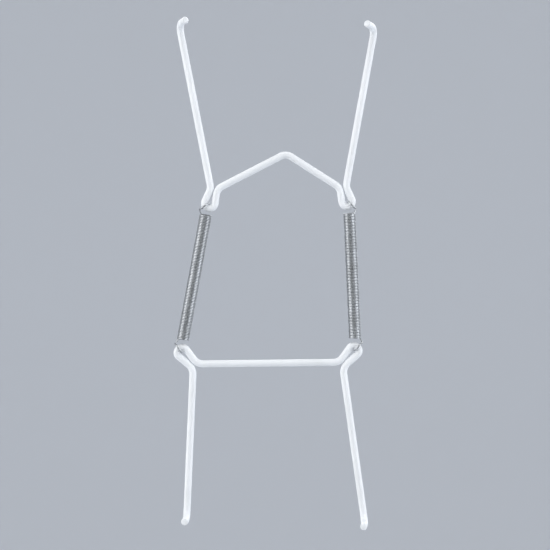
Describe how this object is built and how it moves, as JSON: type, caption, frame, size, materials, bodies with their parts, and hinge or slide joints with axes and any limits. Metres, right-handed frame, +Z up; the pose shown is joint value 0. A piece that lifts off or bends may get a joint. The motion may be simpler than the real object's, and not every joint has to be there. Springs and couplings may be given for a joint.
{
  "type": "wire plate hanger",
  "caption": "Sprung wire hanger for a plate: a chevron with arms and a bar with legs, bent from white coated wire, joined by extension springs and ending in rim claws.",
  "frame": {"origin": "underside of the hanging bend, in the plane of the wires, where the nail bears", "axes": "+Z up, +X to the right as seen from the front, the claws point to -Y and the wall is on the +Y side"},
  "size_m": [0.067, 0.0098, 0.1672],
  "materials": {
    "coated_wire": "white plastic coating, soft gloss",
    "spring_steel": "bright drawn spring wire"
  },
  "bodies": {
    "upper": {"upper_wire": "coated_wire"},
    "springs": {"left_spring": "spring_steel", "right_spring": "spring_steel"},
    "lower": {"lower_wire": "coated_wire"}
  },
  "joints": [
    {"name": "spring_swing", "type": "hinge", "parent": "upper", "child": "springs", "pos_m": [-0.025, 0, -0.01575], "axis": [0.9999, 0, 0.0132], "range_deg": [-25, 25]},
    {"name": "spring_stretch", "type": "slide", "parent": "springs", "child": "lower", "axis": [0, 0, -1], "range_m": [0, 0.113], "stiffness_N_per_m": 290, "springref_m": -0.0077, "deforming": ["left_spring", "right_spring"]}
  ]
}
